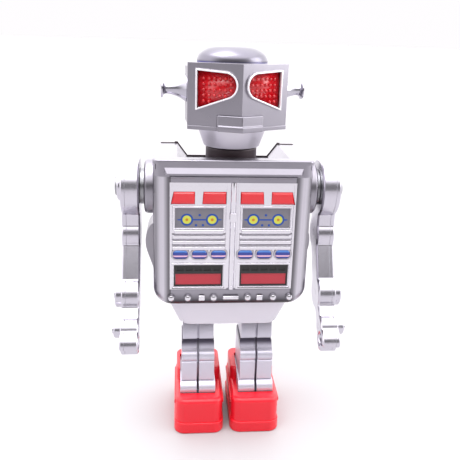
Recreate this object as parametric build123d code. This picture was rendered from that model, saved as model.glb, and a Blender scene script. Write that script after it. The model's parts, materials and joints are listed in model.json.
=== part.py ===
from build123d import *
import os
from math import atan2, cos, degrees, hypot, pi, radians, sin

os.makedirs("parts", exist_ok=True)

# A small clockwork walking robot. The robot looks along -Y, its own left side is +X, up is +Z,
# and the floor it stands on is z = 0. Sizes are in millimetres.

# General
tin = 0.8
fit = 0.05
part_gap = 0.3
screw_radius = 0.7
screw_head_radius = 1.4
screw_head_height = 0.5

# Levels, from the hip upwards
hip_height = 38.2
pelvis_bottom = hip_height - 3.7
belt_bottom = pelvis_bottom + 7.5
casing_height = 43.5
deck_top = belt_bottom + casing_height
shoulder_height = deck_top - 10.6

# Casing
body_half_width = 22.3
body_front = -13.0
body_back = 12.5
casing_seam = -1.0
belt_height = 5.0
deck_thickness = 1.2
shell_top = deck_top - deck_thickness
lower_corner = 5.5
front_edge_round = 3.0
back_edge_round = 3.0
bulge = 2.7
bulge_height = belt_bottom + 16.0
bulge_top = bulge_height + 6.0
valley_floor = deck_top - 4.2
valley_floor_half = 12.5
valley_top_half = 16.2
valley_front = -9.5
deck_edge_round = 0.5
deck_corner_round = 1.8
cornice_top = shell_top - 0.5
cornice_height = 2.4
cornice_stand = 0.9
cornice_end = 1.0
bead_radius = 0.35
bead_level = cornice_top - cornice_height - 0.7
stud_level = belt_bottom + 3.0
stud_radius = 1.1
stud_height = 0.6
stud_places = (4.95, 12.4, 17.2)
square_stud_place = 8.4
square_stud_half = 0.8
square_stud_height = 0.4
belt_block_half = 2.1
belt_block_height = 0.5
stud_root = 0.3
screw_inset = 6.0
screw_length = 3.0

# Chest panel
panel_half_width = 17.6
panel_bottom = belt_bottom + 5.5
panel_top = deck_top - 6.3
panel_recess = 0.5
panel_thickness = 1.3
panel_face = body_front + panel_recess
pocket_floor = panel_face + 1.0
flange = 1.1
door_gap_half = 1.3
door_rim = 0.6
door_rim_height = 0.35
door_middle = (door_gap_half + panel_half_width) / 2
hinge_post_radius = 0.8
hinge_line_half = 0.2
light_height = 3.5
light_width = 6.6
light_level = panel_top - 4.45
light_lean = 0.8
light_stand = 0.6
light_facet = 0.5
inner_light_place = 5.3
outer_light_place = 14.0
dial_width = 13.4
dial_height = 5.6
dial_level = panel_top - 10.2
dial_pocket = 0.6
dial_face = 0.2
groove_levels = (panel_top - 14.8, panel_top - 16.35, panel_top - 18.1)
groove_height = 0.55
groove_depth = 0.5
oval_width = 4.2
oval_height = 2.5
oval_corner = 1.0
oval_level = panel_bottom + 10.7
oval_places = (3.8, 9.2, 14.6)
oval_stand = 0.7
oval_round = 0.5
bezel_width = 0.45
bezel_stand = 0.4
window_width = 13.9
window_height = 6.5
window_level = panel_bottom + 4.1
window_red_height = 3.4
window_border = 0.4
small_step = 0.1
grille_teeth = 5
grille_rib = 0.3
grille_slot_low = 0.5
grille_slot_height = 1.2
latch_half = 0.9
latch_thickness = 0.35
latch_bottom = dial_level - 1.0
latch_height = 2.6

# Pelvis and legs
pelvis_top_half = 18.5
pelvis_bottom_half = 15.0
pelvis_top_depth = 21.0
pelvis_bottom_depth = 18.4
pelvis_top_corner = 5.0
pelvis_bottom_corner = 4.0
leg_slot_back = 5.2
hip_axle_radius = 1.0
axle_overhang = 1.3
leg_centre = 9.0
thigh_width = 9.4
shin_width = 10.0
ankle_width = 10.8
leg_groove = 0.7
groove_back = -5.4
groove_bottom = 9.0
thigh_front = -6.6
thigh_back = 4.0
hip_round = 3.0
knee_level = 27.0
knee_fall = 3.0
shin_front = -9.2
shin_top = 22.0
shin_bottom = 15.3
ankle_level = 14.6
ankle_front = -10.6
ankle_round = 12.4
ankle_low = 10.2
foot_front = -7.4
leg_back = 5.6
lever_thickness = 0.8
lever_wall = 1.0
lever_inner = leg_centre + thigh_width / 2 - lever_thickness - lever_wall
lever_tail = 4.0
lever_half = 1.4
lever_slot_half = 3.2
lever_eye = 2.6
lever_head_half = 2.2
lever_head_reach = 3.4

# Boots
boot_centre = 8.6
boot_half_width = 7.57
boot_front = -15.0
boot_back = 10.0
boot_height = 11.5
boot_round = 3.0
boot_top_round = 1.3
boot_waist = 0.35
boot_wall = 1.2
bead_bottom = 8.7
bead_top = 10.2
bead_inset = 3.4
small_round = 0.3
cuff_half = 6.9
cuff_front = -3.5
cuff_inset = 0.6
cuff_height = 15.6
cuff_round = 2.0
cuff_top_round = 0.9
hollow_round = 1.8
sole_rim = 3.6
sole_round = 3.2
sole_thickness = 1.0
sole_edge = 0.25
sole_screw_seat = 0.6
boot_screw_top = 7.0

# Arms
boss_radius = 8.0
boss_round = 0.9
boss_outer = body_half_width + bulge
washer_radius = 5.3
washer_play = 0.15
arm_inner_face = boss_outer + 1.3
arm_seam = arm_inner_face + 4.0
arm_outer_face = arm_seam + 1.3
arm_boss_face = arm_outer_face + 1.9
arm_edge = 0.5
arm_boss_edge = 0.4
pin_radius = 1.5
pin_head_radius = pin_radius + 1.4
pin_head_height = 0.6
pin_reach = 3.0
collar_radius = pin_radius + 1.1
collar_reach = 2.4
shoulder_lobe = 8.6
elbow_lobe = 5.4
wrist_lobe = 5.2
hub_lobe = 3.3
upper_arm_width = 8.6
forearm_width = 7.0
hand_width = 4.6
elbow_y = 0.2
elbow_z = shoulder_height - 14.4
wrist_y = elbow_y - 7.5
wrist_z = elbow_z - 16.7
hub_y = wrist_y - 7.1
hub_z = wrist_z - 7.8
claw_y = hub_y - 2.6
claw_z = hub_z - 3.0
claw_outer = 3.8
claw_inner = 2.0
claw_mouth = 80.0
arm_corner = 1.0
shoulder_disc = pin_head_radius + 1.5
wrist_disc = 4.0
hub_disc = 2.5
rivet_radius = 0.8
rivet_head = 1.3
rivet_head_height = 0.4

# Head
head_turn = 5.2
bowl_bottom = valley_floor + 6.3
bowl_top_radius = 10.4
bowl_bottom_radius = 8.1
visor_bottom = bowl_bottom + 6.1
visor_top = visor_bottom + 17.2
visor_half_width = 13.76
visor_ridge = -14.4
visor_corner = -8.0
visor_back = -7.3
visor_wall = 0.9
visor_slope = atan2(visor_corner - visor_ridge, visor_half_width)
chin_stand = 0.4
chin_height = 0.6
spigot_depth = 0.8
head_half_width = 13.0
head_back = 11.0
head_back_round = 5.5
head_top_round = 1.0
head_bottom = visor_bottom + 0.3
head_top = visor_top - 0.6
dome_radius = 9.4
dome_centre = 2.2
dome_stretch = 1.07
dome_rim = 1.0
dome_height = 4.8
eye_outer = 12.35
eye_low = visor_bottom + 5.4
eye_high = visor_bottom + 15.3
eye_round_u = 4.7
eye_round_z = visor_bottom + 11.6
eye_round = 3.2
eye_rim = 0.55
eye_rim_height = 0.3
eye_flange = 0.7
eye_flange_thickness = 0.6
mouth_half = 6.2
mouth_bottom = visor_bottom - 0.4
mouth_step = visor_bottom + 1.1
mouth_top = visor_bottom + 3.8
mouth_stand = 0.9
lip_stand = 1.4
mouth_root = 0.3
ear_height = visor_bottom + 9.6
ear_end = head_half_width + 7.3
ear_disc = 2.5
ear_waist = 1.4
ear_flare = 3.6
ear_rod_radius = 1.0
ear_rod_length = 2.0
neck_radius = 7.4
neck_round = 0.6
neck_play = 0.2
neck_pin_radius = 2.5
neck_foot_radius = neck_pin_radius + 1.2
neck_foot_height = 1.0
neck_pin_reach = 2.0

# Clockwork
gear_module = 0.5
great_teeth = 36
pinion_teeth = 9
second_teeth = 32
small_pinion_teeth = 8
crown_teeth = 16
arbor_height = bulge_height + 10.0
second_height = arbor_height - gear_module * (great_teeth + pinion_teeth) / 2
plate_front = -1.3
plate_thickness = 0.8
plate_front_rear = plate_front + plate_thickness
plate_back = 7.5
plate_rear = plate_back + plate_thickness
plate_bottom = arbor_height - 19.5
plate_top = arbor_height + 10.5
plate_half_width = 11.0
plate_back_half = 13.0
plate_corner = 1.5
arbor_radius = 0.7
arbor_end = 0.2
winding_radius = 1.2
great_high = plate_back - 0.5
great_low = great_high - 0.8
second_high = great_low - 0.3
second_low = second_high - 0.5
pinion_side = 0.2
governor_angle = -20.0
governor_radius = 3.2
governor_thickness = 1.4
governor_front = plate_front_rear + 2.5
governor_distance = gear_module * (second_teeth + small_pinion_teeth) / 2
governor_x = governor_distance * cos(radians(governor_angle))
governor_z = second_height + governor_distance * sin(radians(governor_angle))
crank_y = plate_front - 3.6
crank_radius = 1.6
crank_gap = 0.3
crank_web = 9.6
web_thickness = 0.7
web_rim = 0.9
crank_pin = 0.5
crank_slot = crank_pin + 0.15
crank_slot_reach = crank_radius + 0.8
bracket_place = 6.5
bracket_half = 1.8
bracket_reach = 1.5
crown_radius = gear_module * crown_teeth / 2
crown_back = crank_y + 2.5
crown_thickness = 0.8
crown_tooth_height = 0.9
crown_tooth_half = 0.24
crown_tooth_length = 1.1
crank_pinion_width = 1.2
spring_outer = 7.6
spring_turns = 5
spring_strip = 0.35
spring_start = winding_radius + 0.3
spring_steps = 24
key_end = body_back + 8.3
key_arbor_end = key_end - 5.0
key_hub_radius = winding_radius + 0.8
key_loop = 3.4
key_loop_hole = 1.8
key_loop_place = key_loop + 0.6
key_thickness = 1.2
key_bridge_half = 1.6
pillar_radius = 1.2
pillar_inset = 1.5
far = 60.0


def prism_x(sketch, low, high):
    """Extrude a drawing of (Y, Z) points from x = low to x = high."""
    placed = Plane((low, 0, 0), x_dir=(0, 1, 0), z_dir=(1, 0, 0)) * sketch
    return extrude(placed, high - low, dir=(1, 0, 0))


def prism_y(sketch, low, high):
    """Extrude a drawing of (X, Z) points from y = high towards the front, to y = low."""
    placed = Plane((0, high, 0), x_dir=(1, 0, 0), z_dir=(0, -1, 0)) * sketch
    return extrude(placed, high - low, dir=(0, -1, 0))


def prism_z(sketch, low, high):
    """Extrude a drawing of (X, Y) points from z = low to z = high."""
    return extrude(Plane.XY.offset(low) * sketch, high - low, dir=(0, 0, 1))


def block(x_low, x_high, y_low, y_high, z_low, z_high):
    middle = Pos((x_low + x_high) / 2, (y_low + y_high) / 2, (z_low + z_high) / 2)
    return middle * Box(x_high - x_low, y_high - y_low, z_high - z_low)


def disc(across, up, radius):
    return Pos(across, up) * Circle(radius)


def rod_x(low, high, radius, y, z):
    return prism_x(disc(y, z, radius), low, high)


def rod_y(low, high, radius, x, z):
    return prism_y(disc(x, z, radius), low, high)


def rod_z(low, high, radius, x, y):
    return prism_z(disc(x, y, radius), low, high)


def outline(*points):
    return Polygon(*points, align=None)


def window(left, right, low, high, corner=0.0):
    place = Pos((left + right) / 2, (low + high) / 2)
    if corner:
        return place * RectangleRounded(right - left, high - low, corner)
    return place * Rectangle(right - left, high - low)


def mirrored(shape):
    return mirror(shape, about=Plane.YZ)


def both_sides(shape):
    return [shape, mirrored(shape)]


def save(name, *shapes):
    """Write one node. Several solids in one node stay separate."""
    solids = [solid for shape in shapes for solid in shape.solids()]
    whole = solids[0] if len(solids) == 1 else Compound(children=solids)
    export_step(whole, f"parts/{name}.step")


# ---------------------------------------------------------------- casing

def valley(inner):
    """Section of the neck valley, at the sheet's upper face or its lower face."""
    drop = 0.0 if inner else tin
    half_low = valley_floor_half + drop / 2
    half_high = valley_top_half + drop
    return outline(
        (-half_low, valley_floor - drop),
        (half_low, valley_floor - drop),
        (half_high, deck_top + tin),
        (-half_high, deck_top + tin),
    )


def front_outline(inset):
    """Front view of the casing: straight sides and round lower corners."""
    half = body_half_width - inset
    low = belt_bottom + inset
    corner = lower_corner - inset
    shape = window(-half, half, low, shell_top + lower_corner, corner)
    return shape & window(-half, half, low, shell_top)


def back_outline(inset):
    """Front view of the back shell, which swells out beside the motor."""
    half = body_half_width - inset
    low = belt_bottom + inset
    corner = lower_corner - inset
    with BuildSketch() as drawing:
        with BuildLine():
            foot = (half - corner, low)
            heel = (half, low + corner)
            swell = (half + bulge, bulge_height)
            neck = (half, bulge_top - inset / 2)
            RadiusArc(foot, heel, -corner)
            Spline(heel, swell, neck, tangents=[(0.2, 1), (-0.9, 0.6)])
            Line(neck, (half, shell_top))
            mirror(about=Plane.YZ)
            Line((-half, shell_top), (half, shell_top))
            Line((-foot[0], low), foot)
        make_face()
    return drawing.sketch


def round_front(shape, radius):
    """Round the edges of the front face, apart from the straight one at the top."""
    edges = shape.faces().sort_by(Axis.Y)[0].edges().sort_by(Axis.Z)
    return fillet(edges[:-1], radius)


def round_back(shape, radius):
    """Round the edges of the back face, apart from the straight one at the top."""
    edges = shape.faces().sort_by(Axis.Y)[-1].edges().sort_by(Axis.Z)
    return fillet(edges[:-1], radius)


def lever_opening():
    """Opening in the casing's floor for the leg levers."""
    reach = leg_centre + ankle_width / 2
    depth = pelvis_bottom_depth / 2 - tin
    return block(-reach, reach, -depth, depth, belt_bottom - 1, belt_bottom + belt_height)


def shoulder_hole():
    return rod_x(-boss_outer, boss_outer, pin_radius, 0, shoulder_height)


def cornice():
    """Sloping ledge across the top of the front, mitred at both ends."""
    half = body_half_width - front_edge_round
    low = cornice_top - cornice_height
    foot = body_front + stud_root
    front = body_front - cornice_stand
    section = outline((foot, low), (front, low), (front, low + cornice_stand / 2), (foot, cornice_top))
    bar = prism_x(section, -half, half)
    plan = outline((-half, foot), (-half + cornice_end, front), (half - cornice_end, front), (half, foot))
    return bar & prism_z(plan, low, cornice_top)


def torso_front_shell():
    shell = round_front(prism_y(front_outline(0), body_front, casing_seam), front_edge_round)
    room = prism_y(front_outline(tin), body_front + tin, casing_seam + 1)
    shell -= round_front(room, front_edge_round - tin)
    shell -= block(
        -body_half_width + tin,
        body_half_width - tin,
        body_front + tin,
        casing_seam + 1,
        shell_top - 2 * tin,
        shell_top + 1,
    )
    half = panel_half_width + fit
    opening = window(-half, half, panel_bottom - fit, panel_top + fit)
    shell -= prism_y(opening, body_front - 1, body_front + 2 * tin)
    shell -= lever_opening()
    shell -= shoulder_hole()
    shell += cornice()
    # rolled bead above the panel and studs along the belt
    shell += rod_x(-panel_half_width, panel_half_width, bead_radius, body_front, bead_level)
    root = body_front + stud_root
    for side in (-1, 1):
        for place in stud_places:
            shell += rod_y(body_front - stud_height, root, stud_radius, side * place, stud_level)
        square = Rectangle(2 * square_stud_half, 2 * square_stud_half)
        place = Pos(side * square_stud_place, stud_level)
        shell += prism_y(place * square, body_front - square_stud_height, root)
    belt_block = Pos(0, stud_level) * Rectangle(2 * belt_block_half, 2 * square_stud_half)
    shell += prism_y(belt_block, body_front - belt_block_height, root)
    return shell


def torso_back_shell():
    shell = round_back(prism_y(back_outline(0), casing_seam, body_back), back_edge_round)
    shell -= round_back(prism_y(back_outline(tin), casing_seam - 1, body_back - tin), back_edge_round - tin)
    shell -= block(
        -body_half_width + tin,
        body_half_width - tin,
        casing_seam - 1,
        body_back - tin,
        shell_top - 2 * tin,
        shell_top + 1,
    )
    # ledge that closes the swelling at the seam
    ledge = back_outline(0) - front_outline(2 * tin)
    ledge &= window(-far, far, belt_bottom, bulge_top + tin)
    shell += prism_y(ledge, casing_seam, casing_seam + tin)
    shell -= lever_opening()
    shell -= shoulder_hole()
    shell -= prism_y(valley(False), valley_front, body_back + 1)
    shell -= rod_y(0, body_back + 1, winding_radius + part_gap, 0, arbor_height)
    for x, z in casing_screw_places():
        shell -= rod_y(body_back - 2 * tin, body_back + 1, screw_radius + fit, x, z)
    return shell


def casing_screw_places():
    side = body_half_width - screw_inset
    levels = (belt_bottom + 8, shell_top - 9)
    return [(x, z) for x in (-side, side) for z in levels]


def casing_screws():
    screws = []
    for x, z in casing_screw_places():
        head = rod_y(body_back, body_back + screw_head_height, screw_head_radius, x, z)
        shank = rod_y(body_back - screw_length, body_back, screw_radius, x, z)
        screws.append(head + shank)
    return screws


def torso_deck():
    """Top of the shoulders, with the valley that the neck stands in."""
    half = body_half_width
    plate = block(-half, half, body_front, body_back, shell_top, deck_top)
    upright = plate.edges().filter_by(Axis.Z)
    plate = fillet(upright, deck_corner_round)
    plate = fillet(plate.faces().sort_by(Axis.Z)[-1].edges(), deck_edge_round)
    room = block(-half, half, valley_front - tin, body_back, valley_floor - 2 * tin, deck_top)
    trough = prism_y(valley(False), valley_front - tin, body_back) & room
    deck = plate + trough
    deck -= prism_y(valley(True), valley_front, body_back + 1)
    deck -= rod_z(valley_floor - 2 * tin, deck_top, neck_pin_radius + fit, 0, 0)
    return deck


# ---------------------------------------------------------------- chest

def light_outline(outer, grow):
    """A red light: a rectangle whose outer upper corner leans in."""
    middle = outer_light_place if outer else inner_light_place
    left = middle - light_width / 2 - grow
    right = middle + light_width / 2 + grow
    low = light_level - light_height / 2 - grow
    high = light_level + light_height / 2 + grow
    lean = light_lean if outer else light_lean / 3
    return outline((left, low), (right, low), (right - lean, high), (left, high))


def dial_outline(grow):
    half = dial_width / 2 + grow
    tall = dial_height / 2 + grow
    return window(door_middle - half, door_middle + half, dial_level - tall, dial_level + tall)


def oval_outline(place, grow):
    wide = oval_width / 2 + grow
    tall = oval_height / 2 + grow
    return window(place - wide, place + wide, oval_level - tall, oval_level + tall, oval_corner + grow)


def window_outline(grow):
    half = window_width / 2 + grow
    tall = window_height / 2 + grow
    return window(door_middle - half, door_middle + half, window_level - tall, window_level + tall)


def chest_panel():
    """Panel with two doors, the post between them and the pockets for everything set in it."""
    half = panel_half_width
    front = panel_face - 1
    back = panel_face + panel_thickness
    plate = block(-half, half, panel_face, back, panel_bottom, panel_top)
    hidden = body_front + tin
    plate += block(-half - flange, half + flange, hidden, back, panel_bottom - flange, panel_top + flange)
    rim = window(door_gap_half, half, panel_bottom, panel_top)
    left = door_gap_half + door_rim
    right = half - door_rim
    rim -= window(left, right, panel_bottom + door_rim, panel_top - door_rim)
    for raised in both_sides(prism_y(rim, panel_face - door_rim_height, panel_face + fit)):
        plate += raised
    post = rod_z(panel_bottom, panel_top, hinge_post_radius, 0, panel_face)
    post &= block(-half, half, front, panel_face + hinge_post_radius / 2, panel_bottom, panel_top)
    plate += post
    line_top = panel_top - 5
    plate -= block(-hinge_line_half, hinge_line_half, front, panel_face - 0.5, panel_bottom + 1, line_top)
    cuts = [prism_y(light_outline(outer, fit), front, pocket_floor) for outer in (False, True)]
    cuts.append(prism_y(dial_outline(fit), front, panel_face + dial_pocket))
    for place in oval_places:
        cuts.append(prism_y(oval_outline(place, bezel_width + fit), front, pocket_floor))
    cuts.append(prism_y(window_outline(fit), front, pocket_floor))
    for level in groove_levels:
        groove = window(left, right, level - groove_height / 2, level + groove_height / 2)
        cuts.append(prism_y(groove, front, panel_face + groove_depth))
    for cut in cuts:
        plate -= cut
        plate -= mirrored(cut)
    return plate


def faceted(face, low, high, chamfer_size):
    body = prism_y(face, low, high)
    return chamfer(body.faces().sort_by(Axis.Y)[0].edges(), chamfer_size)


def chest_lights():
    lights = []
    for outer in (False, True):
        light = faceted(light_outline(outer, 0), panel_face - light_stand, pocket_floor, light_facet)
        lights += both_sides(light)
    return lights


def dial_plates():
    return both_sides(prism_y(dial_outline(0), panel_face + dial_face, panel_face + dial_pocket))


def oval_buttons():
    buttons = []
    for place in oval_places:
        button = prism_y(oval_outline(place, 0), panel_face - oval_stand, pocket_floor)
        button = fillet(button.faces().sort_by(Axis.Y)[0].edges(), oval_round)
        buttons += both_sides(button)
    return buttons


def button_bezels():
    bezels = []
    for place in oval_places:
        ring = oval_outline(place, bezel_width) - oval_outline(place, fit)
        bezels += both_sides(prism_y(ring, panel_face - bezel_stand, pocket_floor))
    return bezels


def red_pane(grow):
    """The red part of a window, inside the black border."""
    half = window_width / 2 - window_border + grow
    low = window_level - window_height / 2 + window_border - grow
    return window(door_middle - half, door_middle + half, low, low + window_red_height + 2 * grow)


def window_grilles():
    """Black frame with a row of slots above the red window."""
    grille = prism_y(window_outline(0) - red_pane(0), panel_face + small_step, pocket_floor)
    pitch = (window_width - 2 * window_border) / grille_teeth
    left = door_middle - window_width / 2 + window_border
    low = window_level - window_height / 2 + 2 * window_border + window_red_height + grille_slot_low
    for index in range(grille_teeth):
        start = left + index * pitch
        slot = window(start + grille_rib, start + pitch - grille_rib, low, low + grille_slot_height)
        grille -= prism_y(slot, panel_face - 1, panel_face + groove_depth)
    return both_sides(grille)


def red_windows():
    return both_sides(prism_y(red_pane(-fit), panel_face + 3 * small_step, pocket_floor))


def door_latch():
    front = panel_face - hinge_post_radius
    top = latch_bottom + latch_height
    latch = block(-latch_half, latch_half, front - latch_thickness, front, latch_bottom, top)
    return fillet(latch.edges().filter_by(Axis.Y), latch_half / 2)


# ---------------------------------------------------------------- pelvis

def pelvis_solid(inset):
    depth = pelvis_top_depth - 2 * inset
    section = RectangleRounded(2 * (pelvis_top_half - inset), depth, pelvis_top_corner - inset)
    top = Pos(0, 0, belt_bottom) * section
    depth = pelvis_bottom_depth - 2 * inset
    section = RectangleRounded(2 * (pelvis_bottom_half - inset), depth, pelvis_bottom_corner - inset)
    low = Pos(0, 0, pelvis_bottom) * section
    return loft([low.face(), top.face()])


def pelvis_shell():
    """Tapered tin skirt with a floor, a slot for each thigh and the holes of the hip axle."""
    room = block(-far, far, -far, far, pelvis_bottom + tin, belt_bottom)
    shell = pelvis_solid(0) - (pelvis_solid(tin) & room)
    slot_front = -pelvis_bottom_depth / 2 + tin
    half = thigh_width / 2 + part_gap
    for side in (-1, 1):
        middle = side * leg_centre
        low = pelvis_bottom - 1
        high = pelvis_bottom + 1
        shell -= block(middle - half, middle + half, slot_front, leg_slot_back, low, high)
    return shell - rod_x(-pelvis_top_half, pelvis_top_half, hip_axle_radius, 0, hip_height)


def hip_axle():
    reach = pelvis_bottom_half + axle_overhang
    return rod_x(-reach, reach, hip_axle_radius, 0, hip_height)


# ---------------------------------------------------------------- legs, built at +X

def leg_profile():
    """Side view of a leg: thigh, hollow knee, knee band, shin block and round ankle."""
    foot = sole_thickness + boot_wall
    hip_top = hip_height + hip_round
    low_thigh = thigh_front - 0.7
    knee_front = thigh_front + 0.8
    band = shin_front - 0.3
    with BuildSketch() as drawing:
        with BuildLine():
            Line((leg_back, foot), (leg_back, knee_level - knee_fall))
            Line((leg_back, knee_level - knee_fall), (thigh_back, knee_level))
            Line((thigh_back, knee_level), (thigh_back, hip_height))
            ThreePointArc((thigh_back, hip_height), (0, hip_top), (-thigh_back, hip_height))
            Line((-thigh_back, hip_height), (thigh_front, pelvis_bottom - 1))
            Line((thigh_front, pelvis_bottom - 1), (low_thigh, knee_level + 1.6))
            Line((low_thigh, knee_level + 1.6), (knee_front, knee_level + 0.8))
            knee_hollow = (thigh_front + 0.1, knee_level - 0.8)
            ThreePointArc((knee_front, knee_level + 0.8), knee_hollow, (shin_front + 0.6, shin_top + 2.6))
            knee_band = (shin_front - 0.1, shin_top + 1.4)
            ThreePointArc((shin_front + 0.6, shin_top + 2.6), knee_band, (shin_front, shin_top))
            Line((shin_front, shin_top), (shin_front + 0.4, shin_top - 0.3))
            Line((shin_front + 0.4, shin_top - 0.3), (shin_front, shin_top - 0.6))
            Line((shin_front, shin_top - 0.6), (shin_front, shin_bottom))
            Line((shin_front, shin_bottom), (shin_front + 0.5, shin_bottom - 0.4))
            Line((shin_front + 0.5, shin_bottom - 0.4), (band, shin_bottom - 0.9))
            ThreePointArc((band, shin_bottom - 0.9), (ankle_front, ankle_round), (band, ankle_low))
            Line((band, ankle_low), (foot_front, ankle_low - 0.8))
            Line((foot_front, ankle_low - 0.8), (foot_front, foot))
            Line((foot_front, foot), (leg_back, foot))
        make_face()
    return drawing.sketch


def leg_body():
    half = ankle_width / 2
    leg = prism_x(leg_profile(), leg_centre - half, leg_centre + half)
    for side in (-1, 1):
        edge = leg_centre + side * half
        for width, low, high in ((shin_width, ankle_level, knee_level), (thigh_width, knee_level, far)):
            inner = leg_centre + side * width / 2
            leg -= block(min(edge, inner), max(edge, inner), -far, far, low, high)
    groove_half = leg_groove / 2
    leg -= block(leg_centre - groove_half, leg_centre + groove_half, -far, groove_back, groove_bottom, far)
    leg -= rod_x(0, 2 * leg_centre, hip_axle_radius + fit, 0, hip_height)
    # slot that takes the drive lever, open at the top of the hip
    lever_outer = lever_inner + lever_thickness
    leg -= block(lever_inner, lever_outer, -lever_slot_half, lever_slot_half, hip_height - lever_tail, far)
    return leg - boot_screw_hole()


def leg_lever():
    """Steel strip from the hip up to the crank, with the slot that the crank pin drives."""
    slope = degrees(atan2(-crank_y, second_height - hip_height))
    length = hypot(crank_y, second_height - hip_height)
    strip = window(-lever_half, lever_half, -lever_tail, length)
    eye = disc(0, 0, lever_eye)
    head_low = length - lever_head_reach
    head_high = length + lever_head_reach
    head = window(-lever_head_half, lever_head_half, head_low, head_high, lever_half)
    slot_low = length - crank_slot_reach
    slot_high = length + crank_slot_reach
    slot = window(-crank_slot, crank_slot, slot_low, slot_high, crank_pin)
    shape = Pos(0, hip_height) * (Rot(0, 0, slope) * (strip + eye + head - slot))
    lever = prism_x(shape, lever_inner, lever_inner + lever_thickness)
    lever -= rod_x(0, far, hip_axle_radius + fit, 0, hip_height)
    return lever & block(0, far, -far, far, hip_height - lever_tail, 2 * far)


def boot_outline(grow, corner):
    half = boot_half_width + grow
    shape = window(boot_centre - half, boot_centre + half, boot_front - grow, boot_back + grow)
    return fillet(shape.vertices(), corner)


def boot_block(half, front, back, low, high):
    return block(boot_centre - half, boot_centre + half, front, back, low, high)


def leg_socket(wall):
    """Room for the foot of the leg inside the boot, or that room with a wall round it."""
    half = ankle_width / 2 + fit + wall
    floor = sole_thickness + boot_wall - wall
    front = ankle_front - small_step - wall
    return block(leg_centre - half, leg_centre + half, front, leg_back + fit + wall, floor, far)


def boot():
    upper = prism_z(boot_outline(-boot_waist, boot_round), sole_thickness, boot_height)
    upper = fillet(upper.faces().sort_by(Axis.Z)[-1].edges(), boot_top_round)
    rim = prism_z(boot_outline(0, sole_round), sole_thickness, sole_rim)
    rim = fillet(rim.faces().sort_by(Axis.Z)[-1].edges(), small_round)
    bead = boot_block(boot_half_width, boot_front + bead_inset, boot_back - bead_inset, bead_bottom, bead_top)
    bead = fillet(bead.edges().filter_by(Axis.Y), small_round)
    cuff = boot_block(cuff_half, cuff_front, boot_back - cuff_inset, sole_rim, cuff_height)
    cuff = fillet(cuff.edges().filter_by(Axis.Z), cuff_round)
    cuff = fillet(cuff.faces().sort_by(Axis.Z)[-1].edges(), cuff_top_round)
    body = upper + rim + bead + cuff
    wall = boot_wall + boot_waist
    half = boot_half_width - wall
    hollow = boot_block(half, boot_front + wall, boot_back - wall, 0, boot_height - boot_wall)
    hollow = fillet(hollow.edges().filter_by(Axis.Z), hollow_round)
    body -= hollow - leg_socket(boot_wall)
    body -= leg_socket(0)
    return body - boot_screw_hole()


def boot_screw_hole():
    return rod_z(0, groove_bottom, screw_radius, leg_centre, 0)


def boot_sole():
    sole = prism_z(boot_outline(0, sole_round), 0, sole_thickness)
    sole = chamfer(sole.faces().sort_by(Axis.Z)[0].edges(), sole_edge)
    sole -= rod_z(-1, sole_screw_seat, screw_head_radius + fit, leg_centre, 0)
    return sole - boot_screw_hole()


def boot_screw():
    head = rod_z(small_step, sole_screw_seat, screw_head_radius, leg_centre, 0)
    return head + rod_z(sole_screw_seat, boot_screw_top, screw_radius, leg_centre, 0)


# ---------------------------------------------------------------- arms, built at +X

def link(start, end, width):
    """A straight bar between two points of a drawing."""
    span = hypot(end[0] - start[0], end[1] - start[1])
    turn = degrees(atan2(end[1] - start[1], end[0] - start[0]))
    bar = Pos(span / 2, 0) * Rectangle(span, width)
    return Pos(*start) * (Rot(0, 0, turn) * bar)


def arm_outline():
    shoulder = (0, shoulder_height)
    elbow = (elbow_y, elbow_z)
    wrist = (wrist_y, wrist_z)
    hub = (hub_y, hub_z)
    shape = disc(*shoulder, shoulder_lobe) + disc(*elbow, elbow_lobe)
    shape += disc(*wrist, wrist_lobe) + disc(*hub, hub_lobe)
    shape += link(shoulder, elbow, upper_arm_width) + link(elbow, wrist, forearm_width)
    shape += link(wrist, hub, hand_width)
    ring = disc(claw_y, claw_z, claw_outer) - disc(claw_y, claw_z, claw_inner)
    lean = degrees(atan2(claw_z - hub_z, claw_y - hub_y))
    reach = 2 * claw_outer
    half = radians(claw_mouth / 2)
    across = reach * sin(half)
    along = reach * cos(half)
    mouth = outline((0, 0), (along, -across), (along, across))
    ring -= Pos(claw_y, claw_z) * (Rot(0, 0, lean) * mouth)
    hand_bore = disc(claw_y, claw_z, claw_inner)
    whole = (shape - hand_bore) + ring
    return offset(offset(whole, arm_corner), -arm_corner)


def arm_rivet_places():
    return [(elbow_y, elbow_z), (wrist_y, wrist_z), (hub_y, hub_z)]


def arm_bores(arm, low, high):
    arm -= rod_x(low - 1, high + 1, pin_radius + fit, 0, shoulder_height)
    for y, z in arm_rivet_places():
        arm -= rod_x(low - 1, high + 1, rivet_radius, y, z)
    return arm


def arm_inner():
    arm = prism_x(arm_outline(), arm_inner_face, arm_seam)
    arm = chamfer(arm.faces().sort_by(Axis.X)[0].edges(), arm_edge)
    return arm_bores(arm, arm_inner_face, arm_seam)


def arm_outer():
    arm = prism_x(arm_outline(), arm_seam, arm_outer_face)
    arm = chamfer(arm.faces().sort_by(Axis.X)[-1].edges(), arm_boss_edge)
    bosses = [
        (0, shoulder_height, shoulder_disc, arm_boss_face - pin_head_height),
        (wrist_y, wrist_z, wrist_disc, arm_boss_face),
        (hub_y, hub_z, hub_disc, arm_boss_face),
    ]
    for y, z, radius, height in bosses:
        boss = rod_x(arm_outer_face - arm_edge, height, radius, y, z)
        arm += chamfer(boss.faces().sort_by(Axis.X)[-1].edges(), arm_boss_edge)
    return arm_bores(arm, arm_seam, arm_boss_face)


def arm_rivets():
    rivets = []
    outer_faces = (arm_outer_face, arm_boss_face, arm_boss_face)
    for (y, z), outer in zip(arm_rivet_places(), outer_faces):
        rivet = rod_x(arm_inner_face, outer, rivet_radius, y, z)
        rivets.append(rivet + rod_x(outer, outer + rivet_head_height, rivet_head, y, z))
    return rivets


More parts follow.
